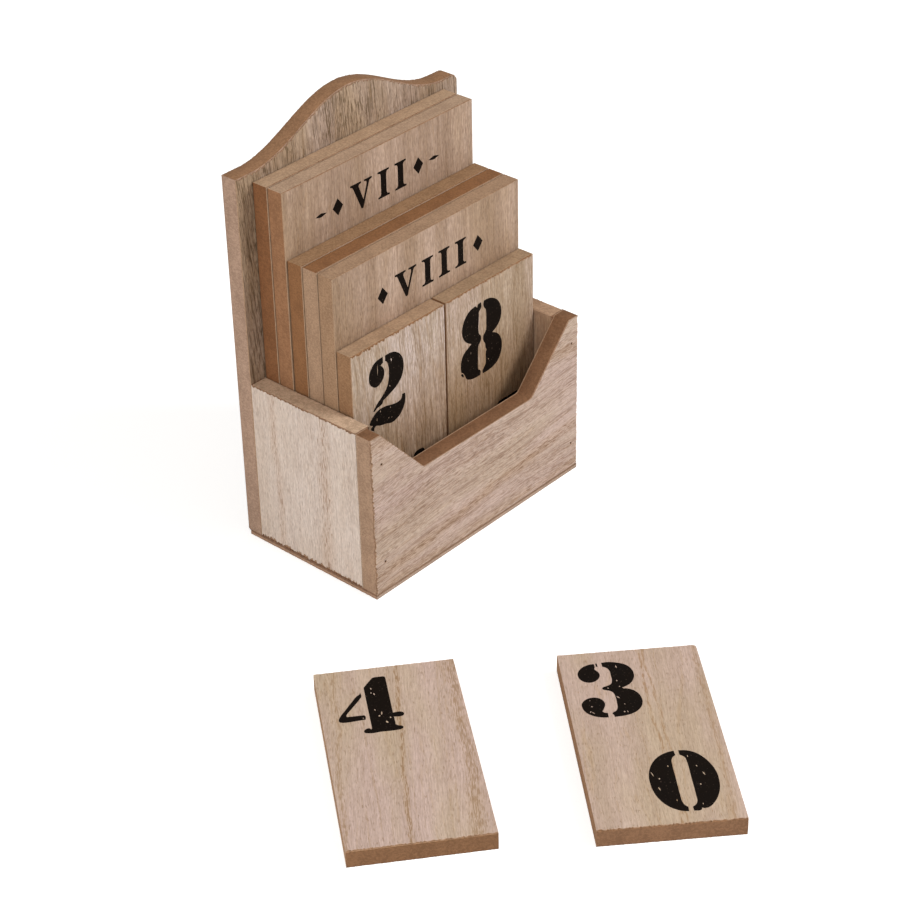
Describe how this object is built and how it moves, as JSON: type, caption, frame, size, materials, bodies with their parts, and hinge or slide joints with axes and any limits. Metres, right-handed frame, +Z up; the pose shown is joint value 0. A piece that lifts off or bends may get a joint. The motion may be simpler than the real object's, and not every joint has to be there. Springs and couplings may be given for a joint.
{
  "type": "perpetual desk calendar",
  "caption": "Wooden perpetual desk calendar: an open tray with an ogee-topped back board holds day, month and number tiles that lift out.",
  "frame": {"origin": "middle of the tray's underside, on the surface it stands on", "axes": "+X to the right as the tiles are read, +Y from the front board to the back board, +Z up"},
  "size_m": [0.1878, 0.203, 0.1395],
  "materials": {
    "tray_board": "unfinished open-grained veneer on brown fibreboard, sawn edges bare",
    "tile_board": "unfinished open-grained veneer on brown fibreboard, black printed figures",
    "pin_steel": "dull dark steel, punched in"
  },
  "bodies": {
    "tray": {"back_board": "tray_board", "front_board": "tray_board", "left_side_board": "tray_board", "right_side_board": "tray_board", "base_board": "tray_board", "front_pin_left_lower": "pin_steel", "front_pin_left_upper": "pin_steel", "front_pin_right_lower": "pin_steel", "front_pin_right_upper": "pin_steel", "back_pin_left_lower": "pin_steel", "back_pin_left_upper": "pin_steel", "back_pin_right_lower": "pin_steel", "back_pin_right_upper": "pin_steel", "base_pin_left_front": "pin_steel", "base_pin_left_rear": "pin_steel", "base_pin_right_front": "pin_steel", "base_pin_right_rear": "pin_steel"},
    "day_tile_rear_body": {"day_tile_rear": "tile_board"},
    "day_tile_front_body": {"day_tile_front": "tile_board"},
    "month_tile_rear_body": {"month_tile_rear": "tile_board"},
    "month_tile_middle_body": {"month_tile_middle": "tile_board"},
    "month_tile_front_body": {"month_tile_front": "tile_board"},
    "tens_tile_body": {"tens_tile": "tile_board"},
    "units_tile_body": {"units_tile": "tile_board"},
    "loose_tile_left_body": {"loose_tile_left": "tile_board"},
    "loose_tile_right_body": {"loose_tile_right": "tile_board"}
  },
  "joints": [
    {"name": "lift_day_tile_rear", "type": "slide", "parent": "tray", "child": "day_tile_rear_body", "axis": [0, 0, 1], "range_m": [0, 0.1245]},
    {"name": "lift_day_tile_front", "type": "slide", "parent": "tray", "child": "day_tile_front_body", "axis": [0, 0, 1], "range_m": [0, 0.1025]},
    {"name": "lift_month_tile_rear", "type": "slide", "parent": "tray", "child": "month_tile_rear_body", "axis": [0, 0, 1], "range_m": [0, 0.1025]},
    {"name": "lift_month_tile_middle", "type": "slide", "parent": "tray", "child": "month_tile_middle_body", "axis": [0, 0, 1], "range_m": [0, 0.1025]},
    {"name": "lift_month_tile_front", "type": "slide", "parent": "tray", "child": "month_tile_front_body", "axis": [0, 0, 1], "range_m": [0, 0.0785]},
    {"name": "lift_tens_tile", "type": "slide", "parent": "tray", "child": "tens_tile_body", "axis": [0, 0, 1], "range_m": [0, 0.0585]},
    {"name": "lift_units_tile", "type": "slide", "parent": "tray", "child": "units_tile_body", "axis": [0, 0, 1], "range_m": [0, 0.0585]},
    {"name": "lift_loose_tile_left", "type": "slide", "parent": "tray", "child": "loose_tile_left_body", "axis": [0, 0, 1], "range_m": [0, 0.06]},
    {"name": "lift_loose_tile_right", "type": "slide", "parent": "tray", "child": "loose_tile_right_body", "axis": [0, 0, 1], "range_m": [0, 0.06]}
  ]
}
